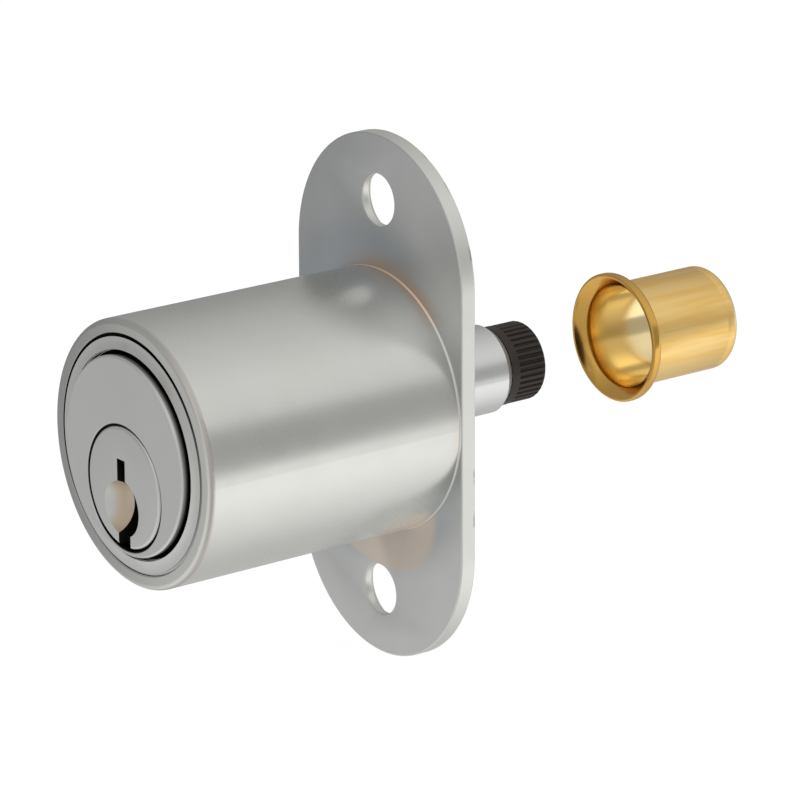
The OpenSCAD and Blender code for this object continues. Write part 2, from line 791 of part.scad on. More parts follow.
echo("least gap in the return spring", coil_gap(return_r, return_wire, return_turns, return_l));
echo("least gap in a pin spring", coil_gap(pin_spring_r, pin_wire, pin_turns, pin_spring_l));
echo("least gap in the latch spring",
  coil_gap(latch_spring_d / 2, latch_wire, latch_turns, latch_spring_top - latch_top_z));

housing();
flange_plate();
end_cap();
guide_bush();
carrier();
back_plate();
back_screws();
guide_pin();
core_screw();
lock_core();
driver_pins();
pin_springs();
pin_cover();
plug();
key_pins();
plug_clip();
cam();
cam_screw();
latch_bolt();
latch_spring();
return_spring();
plunger_shaft();
plunger_tip();
strike_bush();
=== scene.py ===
"""Plunger lock with a flanged barrel and a loose brass strike bush, pushed in, in a pale studio."""

import json
import math

import bmesh
import bpy
from mathutils import Euler, Matrix, Vector


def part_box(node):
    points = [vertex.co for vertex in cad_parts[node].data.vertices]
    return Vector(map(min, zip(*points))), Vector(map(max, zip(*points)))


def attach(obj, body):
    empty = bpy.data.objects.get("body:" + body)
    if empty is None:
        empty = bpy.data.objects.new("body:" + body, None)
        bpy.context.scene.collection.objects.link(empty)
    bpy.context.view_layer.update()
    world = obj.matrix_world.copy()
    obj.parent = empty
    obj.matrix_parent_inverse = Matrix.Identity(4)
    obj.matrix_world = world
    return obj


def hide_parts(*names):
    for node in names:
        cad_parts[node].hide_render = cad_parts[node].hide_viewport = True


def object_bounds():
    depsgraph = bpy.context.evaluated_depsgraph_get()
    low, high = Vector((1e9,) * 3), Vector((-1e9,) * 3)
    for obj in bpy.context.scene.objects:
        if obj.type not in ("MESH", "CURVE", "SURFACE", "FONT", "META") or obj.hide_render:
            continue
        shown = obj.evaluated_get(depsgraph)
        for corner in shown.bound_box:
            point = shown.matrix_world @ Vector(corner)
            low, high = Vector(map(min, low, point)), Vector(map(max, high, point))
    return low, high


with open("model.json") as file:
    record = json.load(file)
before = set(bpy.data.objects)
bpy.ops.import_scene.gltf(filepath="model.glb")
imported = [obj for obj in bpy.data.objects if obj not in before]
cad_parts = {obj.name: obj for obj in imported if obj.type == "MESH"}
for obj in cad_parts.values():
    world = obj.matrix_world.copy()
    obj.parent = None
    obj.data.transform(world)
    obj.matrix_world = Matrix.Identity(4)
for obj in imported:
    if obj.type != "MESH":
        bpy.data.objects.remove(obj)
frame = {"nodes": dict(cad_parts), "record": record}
cad_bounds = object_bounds()

MM = 0.001

# Camera, as fitted to the photograph
CAMERA_TARGET = Vector((15.717, -9.0, 5.522)) * MM
CAMERA_AZIMUTH = math.radians(53.259)
CAMERA_ELEVATION = math.radians(18.059)
CAMERA_ROLL = math.radians(-0.266)
CAMERA_DISTANCE = 487.4 * MM
SENSOR_WIDTH = 36.0
FOCAL_IN_PIXELS = 4865.4
PICTURE_WIDTH = 800

# Studio, in metres and watts
FLOOR_SIZE = 6
FLOOR_GLOW = 1.07
FLOOR_GLOW_SHARE = 0.9
SOFTBOX_PLACE = Vector((0.12, -0.3, 0.55))
SOFTBOX_SIZE = 0.5
SOFTBOX_POWER = 0.9

# Light from behind the object, by the angle around the lock's axis: 0 is right, 90 is up
BEHIND = [
    (-180, 0.30), (-166, 0.34), (-150, 0.60), (-118, 0.60), (-92, 0.66), (-70, 0.88), (-52, 1.02),
    (-36, 1.16), (-15.5, 1.20), (-10.5, 0.42), (23, 0.42), (29, 0.80), (58, 0.82), (84, 0.70),
    (120, 0.55), (150, 0.40), (172, 0.34),
]
# Light from in front of the object, by the same angle
IN_FRONT = [
    (-180, 0.42), (-167, 0.47), (-157, 0.56), (-142, 0.74), (-122, 0.88), (-100, 0.84), (-60, 0.66),
    (-20, 0.60), (20, 0.62), (45, 0.78), (75, 0.76), (100, 0.58), (130, 0.44), (175, 0.42),
]
BRIGHTEST = 1.25
TURN_TO_FRONT = 0.3

# Barrel, carrier and cylinder, in millimetres, as all sizes below
BARREL_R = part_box("housing")[1].x / MM
BARREL_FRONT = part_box("housing")[0].y / MM
BORE_R = BARREL_R - 1.55
CARRIER_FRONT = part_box("carrier")[0].y / MM
CARRIER_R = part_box("carrier")[1].x / MM
CARRIER_FACE_R = CARRIER_R - 0.25
CORE_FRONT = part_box("lock_core")[0].y / MM
CORE_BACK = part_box("lock_core")[1].y / MM
CORE_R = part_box("lock_core")[1].x / MM
CORE_FACE_R = CORE_R - 0.1
CROWN_GAP = 0.36
CROWN_FLOOR = 0.55
CROWN_BACK = 0.7
CROWN_RIM = 0.25

# Flange
PLATE_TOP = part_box("flange_plate")[1].z / MM
PLATE_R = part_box("flange_plate")[1].x / MM
PLATE_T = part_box("flange_plate")[1].y / MM
PLATE_EDGE = 0.14
SCREW_Z = PLATE_TOP - 6.95
SCREW_HOLE_R = 2.75
SINK_W = 0.85
SINK_R = SCREW_HOLE_R + SINK_W
BOSS_HOLE_R = 8.5
BOSS_LIP = 0.5

# Plunger
SHAFT_Z = 0.45
TIP_R = 4.25

# Plug
PLUG_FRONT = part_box("plug")[0].y / MM
PLUG_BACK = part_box("plug")[1].y / MM
PLUG_Z = (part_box("plug")[0].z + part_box("plug")[1].z) / 2 / MM
PLUG_HEAD_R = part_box("plug")[1].x / MM
PLUG_HEAD_BACK = CORE_FRONT + 1.6
PLUG_ROUND = 0.38
PLUG_R = PLUG_HEAD_R - 0.3
PLUG_TAIL = PLUG_BACK - 0.6
CLIP_FRONT = CORE_BACK + 0.08
CLIP_BACK = CORE_BACK + 0.62
CLIP_R = PLUG_R - 0.5
TANG_W = 1.8
TANG_H = 4
TANG_ROOT = 0.2
CAM_SCREW_R = 1
CAM_SCREW_DEPTH = 1.65
KEY_X = -0.4
KEY_TOP_W = 1.4
KEY_STEP = 0.05
KEY_LOW_W = 2.1
KEY_TOP_Z = 2.9
KEY_LEFT_SLOPE = (-0.4, -0.7)
KEY_RIGHT_SLOPE = (-0.9, 0.4)
KEYWAY_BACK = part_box("key_pins")[1].y / MM - 0.35
PIN_PITCH = 3.2
PIN_HOLE_R = 1.35
PIN_FLOOR = 0.8
FIRST_PIN = 3.0
LAST_PIN = 1
SCOOP_R = 3.0
SCOOP_FLAT = 0.88
SCOOP_LENGTH = 3 * SCOOP_R
SCOOP_X = -0.2
SCOOP_OUT = 0.55
SCOOP_DROP = 2.25
SCOOP_TILT = math.radians(48)

# Strike bush
BUSH_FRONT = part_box("strike_bush")[0].y / MM
BUSH_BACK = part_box("strike_bush")[1].y / MM
BUSH_RIM_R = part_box("strike_bush")[1].x / MM
BUSH_R = 5.7
BUSH_BORE = 5.4
BUSH_BEAD = 0.65
BUSH_LIP = 0.27
BUSH_CREASE = BUSH_FRONT + 1.06
BUSH_END_R = 1
BUSH_END_INNER_R = 0.7
BUSH_OPENING = 5.2
BUSH_LINE = BUSH_BACK - 1.65


# Colours and nodes


def srgb(hex_value):
    """Linear colour of an sRGB hex value such as C8C8C4."""
    channels = [int(hex_value[i:i + 2], 16) / 255 for i in (0, 2, 4)]
    linear = [c / 12.92 if c <= 0.04045 else ((c + 0.055) / 1.055) ** 2.4 for c in channels]
    return (*linear, 1.0)


def grey(level):
    return (level, level, level, 1)


def add(tree, kind, settings=None, inputs=None):
    """Adds a node with its settings, and its inputs as values or as the outputs they come from."""
    node = tree.nodes.new(kind)
    for key, value in (settings or {}).items():
        setattr(node, key, value)
    for key, value in (inputs or {}).items():
        if isinstance(value, bpy.types.NodeSocket):
            tree.links.new(value, node.inputs[key])
        else:
            node.inputs[key].default_value = value
    return node


def all_of(tree, *masks):
    """Product of masks and shares, which holds only where all of them do."""
    result = masks[0]
    for mask in masks[1:]:
        result = add(tree, "ShaderNodeMath", {"operation": "MULTIPLY"}, {0: result, 1: mask}).outputs[0]
    return result


def any_of(tree, *masks):
    """Largest of some masks, which holds where any of them does."""
    result = masks[0]
    for mask in masks[1:]:
        result = add(tree, "ShaderNodeMath", {"operation": "MAXIMUM"}, {0: result, 1: mask}).outputs[0]
    return result


def stops(ramp, points):
    """Sets a ramp's stops from places and colours."""
    elements = ramp.color_ramp.elements
    while len(elements) > 1:
        elements.remove(elements[-1])
    for i, (place, colour) in enumerate(points):
        element = elements[0] if i == 0 else elements.new(place)
        element.position = place
        element.color = colour


# Studio


def make_camera():
    data = bpy.data.cameras.new("camera")
    data.sensor_width = SENSOR_WIDTH
    data.lens = FOCAL_IN_PIXELS / PICTURE_WIDTH * SENSOR_WIDTH
    data.clip_start = 0.01
    data.clip_end = 20
    camera = bpy.data.objects.new("camera", data)
    bpy.context.scene.collection.objects.link(camera)
    turn = Euler((math.pi / 2 - CAMERA_ELEVATION, 0, CAMERA_AZIMUTH)).to_matrix().to_4x4()
    turn = turn @ Matrix.Rotation(CAMERA_ROLL, 4, "Z")
    back = turn.to_3x3() @ Vector((0, 0, 1))
    camera.matrix_world = Matrix.Translation(CAMERA_TARGET + back * CAMERA_DISTANCE) @ turn
    bpy.context.scene.camera = camera


def degrees_to_ramp(angle):
    return (angle + 180) / 360


def make_world():
    """Studio light that the metal mirrors, by its angle around the lock's axis. The camera sees white."""
    world = bpy.data.worlds.new("studio")
    bpy.context.scene.world = world
    world.use_nodes = True
    tree = world.node_tree
    tree.nodes.clear()
    direction = add(tree, "ShaderNodeTexCoord").outputs["Generated"]
    x, y, z = add(tree, "ShaderNodeSeparateXYZ", inputs={0: direction}).outputs
    around = add(tree, "ShaderNodeMath", {"operation": "ARCTAN2"}, {0: z, 1: x}).outputs[0]
    turn = add(tree, "ShaderNodeMapRange", inputs={
        "Value": around, "From Min": -math.pi, "From Max": math.pi}).outputs[0]
    ramps = []
    for levels in (IN_FRONT, BEHIND):
        ramp = add(tree, "ShaderNodeValToRGB", inputs={"Fac": turn})
        stops(ramp, [(degrees_to_ramp(angle), grey(level / BRIGHTEST)) for angle, level in levels])
        ramps.append(ramp.outputs["Color"])
    depth = add(tree, "ShaderNodeMapRange", {"interpolation_type": "SMOOTHSTEP"}, {
        "Value": y, "From Min": -TURN_TO_FRONT, "From Max": TURN_TO_FRONT}).outputs[0]
    mixed = add(tree, "ShaderNodeMix", {"data_type": "RGBA"}, {
        0: depth, 6: ramps[0], 7: ramps[1]}).outputs[2]
    light = add(tree, "ShaderNodeBackground", inputs={"Color": mixed, "Strength": BRIGHTEST})
    white = add(tree, "ShaderNodeBackground", inputs={"Color": grey(1), "Strength": 1.0})
    rays = add(tree, "ShaderNodeLightPath")
    chosen = add(tree, "ShaderNodeMixShader", inputs={
        0: rays.outputs["Is Camera Ray"], 1: light.outputs[0], 2: white.outputs[0]})
    add(tree, "ShaderNodeOutputWorld", inputs={0: chosen.outputs[0]})


def make_floor():
    """White floor under the object, which glows for the camera, so that hardly any shadow shows."""
    bpy.ops.mesh.primitive_plane_add(size=FLOOR_SIZE, location=(0, 0, cad_bounds[0][2]))
    floor = bpy.context.object
    floor.name = "floor"
    floor.visible_glossy = False
    material = bpy.data.materials.new("pale_studio_floor")
    material.use_nodes = True
    tree = material.node_tree
    tree.nodes.clear()
    paper = add(tree, "ShaderNodeBsdfDiffuse", inputs={"Color": grey(0.8)})
    glow = add(tree, "ShaderNodeEmission", inputs={"Color": grey(1), "Strength": FLOOR_GLOW})
    rays = add(tree, "ShaderNodeLightPath")
    share = all_of(tree, rays.outputs["Is Camera Ray"], FLOOR_GLOW_SHARE)
    mixed = add(tree, "ShaderNodeMixShader", inputs={0: share, 1: paper.outputs[0], 2: glow.outputs[0]})
    add(tree, "ShaderNodeOutputMaterial", inputs={0: mixed.outputs[0]})
    floor.data.materials.append(material)


def make_softbox():
    data = bpy.data.lights.new("overhead_softbox", "AREA")
    data.size = SOFTBOX_SIZE
    data.energy = SOFTBOX_POWER
    lamp = bpy.data.objects.new("overhead_softbox", data)
    bpy.context.scene.collection.objects.link(lamp)
    lamp.location = SOFTBOX_PLACE
    lamp.visible_glossy = False
    lamp.rotation_euler = (-SOFTBOX_PLACE).to_track_quat("-Z", "Y").to_euler()


# Parts of materials, with lengths in millimetres

PLAIN_ROUGHNESS = 0.3
BUMP_DEPTH = 0.1


def new_material(name, metallic=1):
    """Material with its node tree, its shader and the place on the object."""
    material = bpy.data.materials.new(name)
    material.use_nodes = True
    tree = material.node_tree
    shader = tree.nodes["Principled BSDF"]
    shader.inputs["Metallic"].default_value = metallic
    shader.inputs["Roughness"].default_value = PLAIN_ROUGHNESS
    place = add(tree, "ShaderNodeTexCoord").outputs["Object"]
    return material, tree, shader, place


def from_axis(tree, place, height=0):
    """Distance from the line along Y at a height."""
    moved = add(tree, "ShaderNodeVectorMath", {"operation": "SUBTRACT"}, {
        0: place, 1: (0, 0, height * MM)}).outputs[0]
    flat = add(tree, "ShaderNodeVectorMath", {"operation": "MULTIPLY"}, {0: moved, 1: (1, 0, 1)}).outputs[0]
    return add(tree, "ShaderNodeVectorMath", {"operation": "LENGTH"}, {0: flat}).outputs["Value"]


def fade(tree, length, start, end, at_start=0.0, at_end=1.0):
    """Mask that changes smoothly while a length goes from start to end."""
    return add(tree, "ShaderNodeMapRange", {"interpolation_type": "SMOOTHSTEP"}, {
        "Value": length, "From Min": start * MM, "From Max": end * MM,
        "To Min": at_start, "To Max": at_end}).outputs[0]


def band(tree, length, start, full, fading, end):
    """Mask that is full while a length is between full and fading, and fades to nothing at start and end."""
    return all_of(tree, fade(tree, length, start, full), fade(tree, length, end, fading))


def patches(tree, place, size, low, high, at_low=0.0, at_high=1.0, detail=3):
    """Mask of patches about size wide, which changes smoothly while noise goes from low to high."""
    noise = add(tree, "ShaderNodeTexNoise", inputs={
        "Vector": place, "Scale": 1 / (size * MM), "Detail": detail}).outputs[0]
    return add(tree, "ShaderNodeMapRange", {"interpolation_type": "SMOOTHSTEP"}, {
        "Value": noise, "From Min": low, "From Max": high, "To Min": at_low, "To Max": at_high}).outputs[0]


def uneven(tree, place, size, low=0.0, high=1.0):
    """Value that drifts from low to high in patches about size wide."""
    noise = add(tree, "ShaderNodeTexNoise", inputs={
        "Vector": place, "Scale": 1 / (size * MM), "Detail": 3}).outputs[0]
    return add(tree, "ShaderNodeMix", inputs={0: noise, 2: low, 3: high}).outputs[0]


def tint(tree, colour, hex_value, *shares):
    """Blends a hex value into a colour by the product of its shares."""
    return add(tree, "ShaderNodeMix", {"data_type": "RGBA"}, {
        0: all_of(tree, *shares), 6: colour, 7: srgb(hex_value)}).outputs[2]


def mottled(tree, place, size, first, second):
    """Colour that drifts from one hex value to another in patches about size wide."""
    return tint(tree, srgb(first), second, uneven(tree, place, size))


def wire(tree, shader, colour, roughness):
    tree.links.new(colour, shader.inputs["Base Color"])
    tree.links.new(roughness, shader.inputs["Roughness"])


def add_grain(tree, shader, place, size, strength, detail=2):
    """Gives a material fine bumps about size wide."""
    noise = add(tree, "ShaderNodeTexNoise", inputs={
        "Vector": place, "Scale": 1 / (size * MM), "Detail": detail}).outputs[0]
    bump = add(tree, "ShaderNodeBump", inputs={
        "Strength": strength, "Distance": BUMP_DEPTH * MM, "Height": noise}).outputs[0]
    tree.links.new(bump, shader.inputs["Normal"])


# Materials

CHROME_PATCH = 6
# Near-black for dirt with painted shade in gaps, grooves and recesses
DIRT_AND_SHADE = "0B0806"


def dirt_and_shade_side(tree, x, z):
    """Share of dirt and painted shade in the gap around the carrier, which is tightest at the lower right;
    the share is largest at the upper left.
    """
    upper_left = add(tree, "ShaderNodeMath", {"operation": "MULTIPLY_ADD"}, {0: x, 1: -0.58, 2: z}).outputs[0]
    return fade(tree, upper_left, -8, 6, 0.05, 1)


def satin_chrome_barrel():
    """Satin chrome plating on the turned barrel: soft reflections and a heat tint next to the flange."""
    material, tree, shader, place = new_material("satin_chrome_barrel")
    x, y, z = add(tree, "ShaderNodeSeparateXYZ", inputs={0: place}).outputs
    colour = mottled(tree, place, CHROME_PATCH, "DADAD4", "DEDEDA")
    # Painted light: paler near the flange, above and below the middle of the side, to brighten the
    # reflections there
    from_middle = add(tree, "ShaderNodeMath", {"operation": "ADD"}, {0: z, 1: -MM}).outputs[0]
    from_middle = add(tree, "ShaderNodeMath", {"operation": "ABSOLUTE"}, {0: from_middle}).outputs[0]
    colour = tint(tree, colour, "F2F2EE", fade(tree, y, -9, -2), fade(tree, from_middle, 6, 9))
    # Heat tint
    colour = tint(tree, colour, "C4AE98",
                  fade(tree, y, -1.8, -0.2), patches(tree, place, 5, 0.3, 0.6, 0.4, 1), 0.2)
    # Rim, painted darker to the left as shade, with a worn brownish edge at the right, and dirt with painted
    # shade inside
    colour = tint(tree, colour, "B0B1AE",
                  fade(tree, y, BARREL_FRONT + 0.6, BARREL_FRONT + 0.3), fade(tree, x, 9, -12))
    colour = tint(tree, colour, "A8948A",
                  band(tree, y, BARREL_FRONT + 0.08, BARREL_FRONT + 0.22,
                       BARREL_FRONT + 0.5, BARREL_FRONT + 0.7),
                  fade(tree, x, -3, 7), 0.4)
    colour = tint(tree, colour, DIRT_AND_SHADE,
                  fade(tree, y, BARREL_FRONT + 0.02, BARREL_FRONT + 0.1),
                  fade(tree, from_axis(tree, place), BORE_R + 0.19, BORE_R + 0.13),
                  dirt_and_shade_side(tree, x, z))
    wire(tree, shader, colour, patches(tree, place, 5, 0.2, 0.8, 0.25, 0.31))
    return material


def satin_chrome_plate():
    """Satin chrome plating on rolled sheet steel: blurred reflections and heat tints around the barrel."""
    material, tree, shader, place = new_material("satin_chrome_plate")
    x, y, z = add(tree, "ShaderNodeSeparateXYZ", inputs={0: place}).outputs
    radius = from_axis(tree, place)
    front = fade(tree, y, 0.5 * PLATE_EDGE, 0)
    colour = mottled(tree, place, CHROME_PATCH, "DADBDA", "E2E2DE")
    # Painted shade: darker next to the barrel, at the lower left and at the top
    colour = tint(tree, colour, "B4B8B8",
                  fade(tree, radius, BARREL_R + 6, BARREL_R + 0.5), front,
                  fade(tree, z, 0, -9, 0.55, 0.95))
    colour = tint(tree, colour, "B4B8B8",
                  fade(tree, radius, BARREL_R + 13, BARREL_R + 3), front,
                  fade(tree, x, 4, -6), fade(tree, z, -6, -12), 0.65)
    colour = tint(tree, colour, "B6B8B8",
                  fade(tree, z, 3, 15), front, fade(tree, x, 12, -10, 0.25, 0.95))
    # Blue and brown heat tints above the barrel, and a pale brown patch below it
    colour = tint(tree, colour, "A0A6AB",
                  fade(tree, radius, BARREL_R + 8, BARREL_R + 2.5), front,
                  fade(tree, z, 2, 11), fade(tree, x, 10, 1), 0.6)
    colour = tint(tree, colour, "C2AE9C",
                  fade(tree, radius, BARREL_R + 2.2, BARREL_R + 0.4), front,
                  fade(tree, z, 9.5, 12.8), fade(tree, x, -6, 1), 0.7)
    colour = tint(tree, colour, "E4D4C4",
                  fade(tree, radius, BARREL_R + 4.8, BARREL_R + 4.1), front,
                  fade(tree, z, -9, -12), fade(tree, from_axis(tree, place, -10), 10.6, 9),
                  fade(tree, x, -7, -4), patches(tree, place, 4, 0.3, 0.7, 0.6, 0.85))
    # Painted highlight: a brighter band on the rounded edge; the edge is nicked at the back where no screw
    # sits
    colour = tint(tree, colour, "E6E6E0",
                  band(tree, y, 0.6 * PLATE_EDGE, 1.2 * PLATE_EDGE, PLATE_T - PLATE_EDGE, PLATE_T - 0.02))
    colour = tint(tree, colour, "6C6C66",
                  band(tree, y, PLATE_T - 0.32, PLATE_T - 0.16, PLATE_T - 0.03, PLATE_T - 0.01),
                  fade(tree, from_axis(tree, place, SCREW_Z), SINK_R + 0.8, SINK_R + 1.2),
                  fade(tree, from_axis(tree, place, -SCREW_Z), SINK_R + 0.8, SINK_R + 1.2),
                  patches(tree, place, 5, 0.54, 0.6, detail=4), 0.6)
    wire(tree, shader, colour, patches(tree, place, 4, 0.2, 0.8, 0.4, 0.47))
    add_grain(tree, shader, place, 0.15, 0.03)
    return material


def satin_chrome_face():
    """Satin chrome plating on the turned faces: soft, a little warm where worn, and in the grooves grimy and
    painted dark as shade.
    """
    material, tree, shader, place = new_material("satin_chrome_face")
    x, y, z = add(tree, "ShaderNodeSeparateXYZ", inputs={0: place}).outputs
    radius = from_axis(tree, place)
    from_plug = from_axis(tree, place, PLUG_Z)
    colour = mottled(tree, place, CHROME_PATCH, "D6D7D6", "DCDCD8")
    colour = tint(tree, colour, "C8AE92",
                  band(tree, radius, CORE_FACE_R + 0.2, CORE_FACE_R + 0.8,
                       CORE_FACE_R + 1, CORE_FACE_R + 1.7),
                  patches(tree, place, 4, 0.5, 0.75), 0.4)
    # Dirt and painted shade: near-black in the grooves around the core and the carrier, and around the plug's
    # mouth and side
    around_core = all_of(
        tree, fade(tree, y, CORE_FRONT + 0.1, CORE_FRONT + 0.85),
        band(tree, radius, CORE_FACE_R - 0.06, CORE_FACE_R - 0.02, CORE_FACE_R + 0.37, CORE_FACE_R + 0.4))
    around_carrier = all_of(
        tree, band(tree, y, CARRIER_FRONT + 0.02, CARRIER_FRONT + 0.12,
                   CARRIER_FRONT + 1.2, CARRIER_FRONT + 1.3),
        fade(tree, radius, CARRIER_FACE_R - 0.05, CARRIER_FACE_R - 0.01), dirt_and_shade_side(tree, x, z))
    plug_mouth = all_of(
        tree, fade(tree, y, CORE_FRONT + 0.02, CORE_FRONT + 0.12),
        band(tree, from_plug, PLUG_HEAD_R + 0.01, PLUG_HEAD_R + 0.03, PLUG_HEAD_R + 0.4, PLUG_HEAD_R + 0.5))
    plug_side = all_of(
        tree, fade(tree, y, PLUG_FRONT + 0.2, PLUG_FRONT + 0.36),
        band(tree, from_plug, PLUG_HEAD_R - 0.12, PLUG_HEAD_R - 0.08, PLUG_HEAD_R + 0.01, PLUG_HEAD_R + 0.03))
    groove_dirt_and_shade = any_of(tree, around_core, around_carrier, plug_mouth, plug_side)
    colour = tint(tree, colour, DIRT_AND_SHADE, groove_dirt_and_shade)
    clean = patches(tree, place, 4, 0.2, 0.8, 0.31, 0.37)
    wire(tree, shader, colour, add(tree, "ShaderNodeMix", inputs={0: groove_dirt_and_shade, 2: clean, 3: 0.7}).outputs[0])
    add_grain(tree, shader, place, 0.12, 0.03)
    return material


def satin_chrome_shaft():
    """Satin plating on the turned plunger: soft reflections, with fine rings around it."""
    material, tree, shader, place = new_material("satin_chrome_shaft")
    # Place drawn out across the axis, on which noise makes rings
    rings = add(tree, "ShaderNodeMapping", inputs={"Vector": place, "Scale": (0.05, 1, 0.05)}).outputs[0]
    colour = mottled(tree, place, CHROME_PATCH, "DCDCDA", "E0E0DE")
    wire(tree, shader, colour, patches(tree, rings, 0.12, 0.2, 0.8, 0.27, 0.35, detail=2))
    add_grain(tree, shader, rings, 0.12, 0.04)
    return material


def worn_plating():
    """Plating in the key's guide hollow, rubbed through to a warm undercoat except at its left."""
    material, tree, shader, place = new_material("worn_plating")
    x = add(tree, "ShaderNodeSeparateXYZ", inputs={0: place}).outputs["X"]
    colour = tint(tree, srgb("DCDCD8"), "D4C5B1", fade(tree, x, -3.1, -2))
    wire(tree, shader, colour, uneven(tree, place, 0.8, 0.5, 0.6))
    add_grain(tree, shader, place, 0.2, 0.06)
    return material


def dark_channel():
    """Unplated broached metal inside the keyway, painted near-black: the shade in its deep slots, and
    graphite and grease.
    """
    material, tree, shader, place = new_material("dark_channel", metallic=0.3)
    colour = mottled(tree, place, 0.6, "050302", "1A120D")
    wire(tree, shader, colour, uneven(tree, place, 0.3, 0.45, 0.7))
    return material


def plain_metal(name, first, second, roughness, grain):
    """Metal with a soft mottle and a fine grain, and dirt with painted shade on what shows in the face's
    groove.
    """
    material, tree, shader, place = new_material(name)
    y = add(tree, "ShaderNodeSeparateXYZ", inputs={0: place}).outputs["Y"]
    colour = mottled(tree, place, 2.5, first, second)
    # Dirt and painted shade: near-black on the front part, which shows in the face's groove
    colour = tint(tree, colour, DIRT_AND_SHADE, fade(tree, y, CARRIER_FRONT + 3.2, CARRIER_FRONT + 2.6))
    wire(tree, shader, colour, uneven(tree, place, 1, roughness - 0.04, roughness + 0.04))
    add_grain(tree, shader, place, grain, 0.04)
    return material


def polished_brass():
    """Drawn and polished brass tube: fine streaks along it, and a shinier rim and inside."""
    material, tree, shader, place = new_material("polished_brass")
    x, y, _ = add(tree, "ShaderNodeSeparateXYZ", inputs={0: place}).outputs
    radius = from_axis(tree, place, SHAFT_Z)
    # Places drawn out along the tube, on which noise makes streaks
    fine = add(tree, "ShaderNodeMapping", inputs={"Vector": place, "Scale": (1, 1 / 30, 1)}).outputs[0]
    broad = add(tree, "ShaderNodeMapping", inputs={"Vector": place, "Scale": (1, 1 / 12, 1)}).outputs[0]
    colour = tint(tree, srgb("FBCF7A"), "FFDC92", patches(tree, broad, 1.2, 0.35, 0.65))
    inside = fade(tree, radius, BUSH_R - 0.04, BUSH_R - 0.1)
    # Painted light: the inside is paler, to brighten it
    colour = tint(tree, colour, "FFE8B0", inside)
    # Flared wall inside at the left, painted a deeper orange as a reflection; the rim, a darker gold; and the
    # crease between them, painted darker as shade
    colour = tint(tree, colour, "F4B03C",
                  inside, fade(tree, y, BUSH_FRONT + 2.5, BUSH_FRONT + 1.3), fade(tree, x, 2, -2), 0.8)
    rim = all_of(tree, fade(tree, y, BUSH_FRONT + 1.45, BUSH_FRONT + 1.25),
                 fade(tree, radius, BUSH_R - 0.06, BUSH_R))
    colour = tint(tree, colour, "DEAE5A", rim)
    colour = tint(tree, colour, "B88838",
                  band(tree, y, BUSH_CREASE - 0.1, BUSH_CREASE - 0.03, BUSH_CREASE + 0.04, BUSH_CREASE + 0.1),
                  fade(tree, radius, BUSH_R + 0.06, BUSH_R))
    polish = any_of(tree, rim, inside)
    drawn = patches(tree, fine, 0.25, 0.3, 0.7, 0.36, 0.48)
    wire(tree, shader, colour, add(tree, "ShaderNodeMix", inputs={0: polish, 2: drawn, 3: 0.17}).outputs[0])
    add_grain(tree, shader, fine, 0.25, 0.02, detail=3)
    return material


def braze():
    """Thin silvery braze metal, coppery at the top where no plating covers it."""
    material, tree, shader, place = new_material("braze_metal")
    z = add(tree, "ShaderNodeSeparateXYZ", inputs={0: place}).outputs["Z"]
    colour = tint(tree, srgb("E4E4DE"), "F6DCC6", fade(tree, z, 9, 11.5))
    wire(tree, shader, colour, uneven(tree, place, 0.6, 0.3, 0.45))
    return material


def black_oxide():
    """Black oxide on the ribbed steel tip, rubbed a little warmer on its crests."""
    material, tree, shader, place = new_material("black_oxide_steel", metallic=0.2)
    crest = fade(tree, from_axis(tree, place, SHAFT_Z), TIP_R - 0.2, TIP_R - 0.03)
    colour = mottled(tree, place, 0.5, "241E18", "2A231D")
    colour = tint(tree, colour, "372E26", crest, uneven(tree, place, 0.5))
    wire(tree, shader, colour, uneven(tree, place, 0.5, 0.42, 0.58))
    return material


MATERIALS = {
    "satin_chrome_barrel": satin_chrome_barrel(),
    "satin_chrome_plate": satin_chrome_plate(),
    "satin_chrome_face": satin_chrome_face(),
    "satin_chrome_shaft": satin_chrome_shaft(),
    "zinc_plated_steel": plain_metal("zinc_plated_steel", "C4C6C8", "CCCED0", roughness=0.3, grain=0.15),
    "plain_steel": plain_metal("plain_steel", "A8A8A8", "B0B0B0", roughness=0.3, grain=0.1),
    "spring_steel": plain_metal("spring_steel", "909090", "9A9A9A", roughness=0.35, grain=0.1),
    "black_oxide_steel": black_oxide(),
    "bearing_brass": plain_metal("bearing_brass", "D8BC78", "DEC482", roughness=0.25, grain=0.15),
    "polished_brass": polished_brass(),
}
BRAZE_METAL = braze()
DARK_CHANNEL = dark_channel()
WORN_PLATING = worn_plating()


def dress_nodes():
    """Gives each CAD node the material of its slot in the record."""
    for part in frame["record"]["subparts"]:
        node = frame["nodes"][part["node"]]
        node.data.materials.clear()
        node.data.materials.append(MATERIALS[part["material_slot"]])


# Modelling helpers, in millimetres


def select_none():
    bpy.ops.object.select_all(action="DESELECT")


def select_only(piece):
    select_none()
    piece.select_set(True)
    bpy.context.view_layer.objects.active = piece


def edit_all():
    bpy.ops.object.mode_set(mode="EDIT")
    bpy.ops.mesh.select_all(action="SELECT")


def end_edit():
    bpy.ops.object.mode_set(mode="OBJECT")


def finish_piece(piece, name, material, angle=30):
    """Puts a piece's origin at the world's, turns its faces outwards and smooths it."""
    select_only(piece)
    bpy.ops.object.transform_apply(location=True, rotation=True, scale=True)
    edit_all()
    bpy.ops.mesh.normals_make_consistent(inside=False)
    end_edit()
    bpy.ops.object.shade_smooth_by_angle(angle=math.radians(angle))
    piece.name = name
    piece.data.name = name
    if material:
        piece.data.materials.clear()
        piece.data.materials.append(material)
    return piece


def add_circle(corners, radius, place, height, filled):
    """Circle square to Y, of edges alone or filled with one face."""
    select_none()
    bpy.ops.mesh.primitive_circle_add(
        vertices=corners, radius=radius * MM, fill_type="NGON" if filled else "NOTHING",
        location=(0, place * MM, height * MM), rotation=(math.pi / 2, 0, 0))
    return bpy.context.object


def extrude(distance):
    """Extrudes what is selected along Y."""
    bpy.ops.mesh.extrude_region_move(TRANSFORM_OT_translate={"value": (0, distance * MM, 0)})


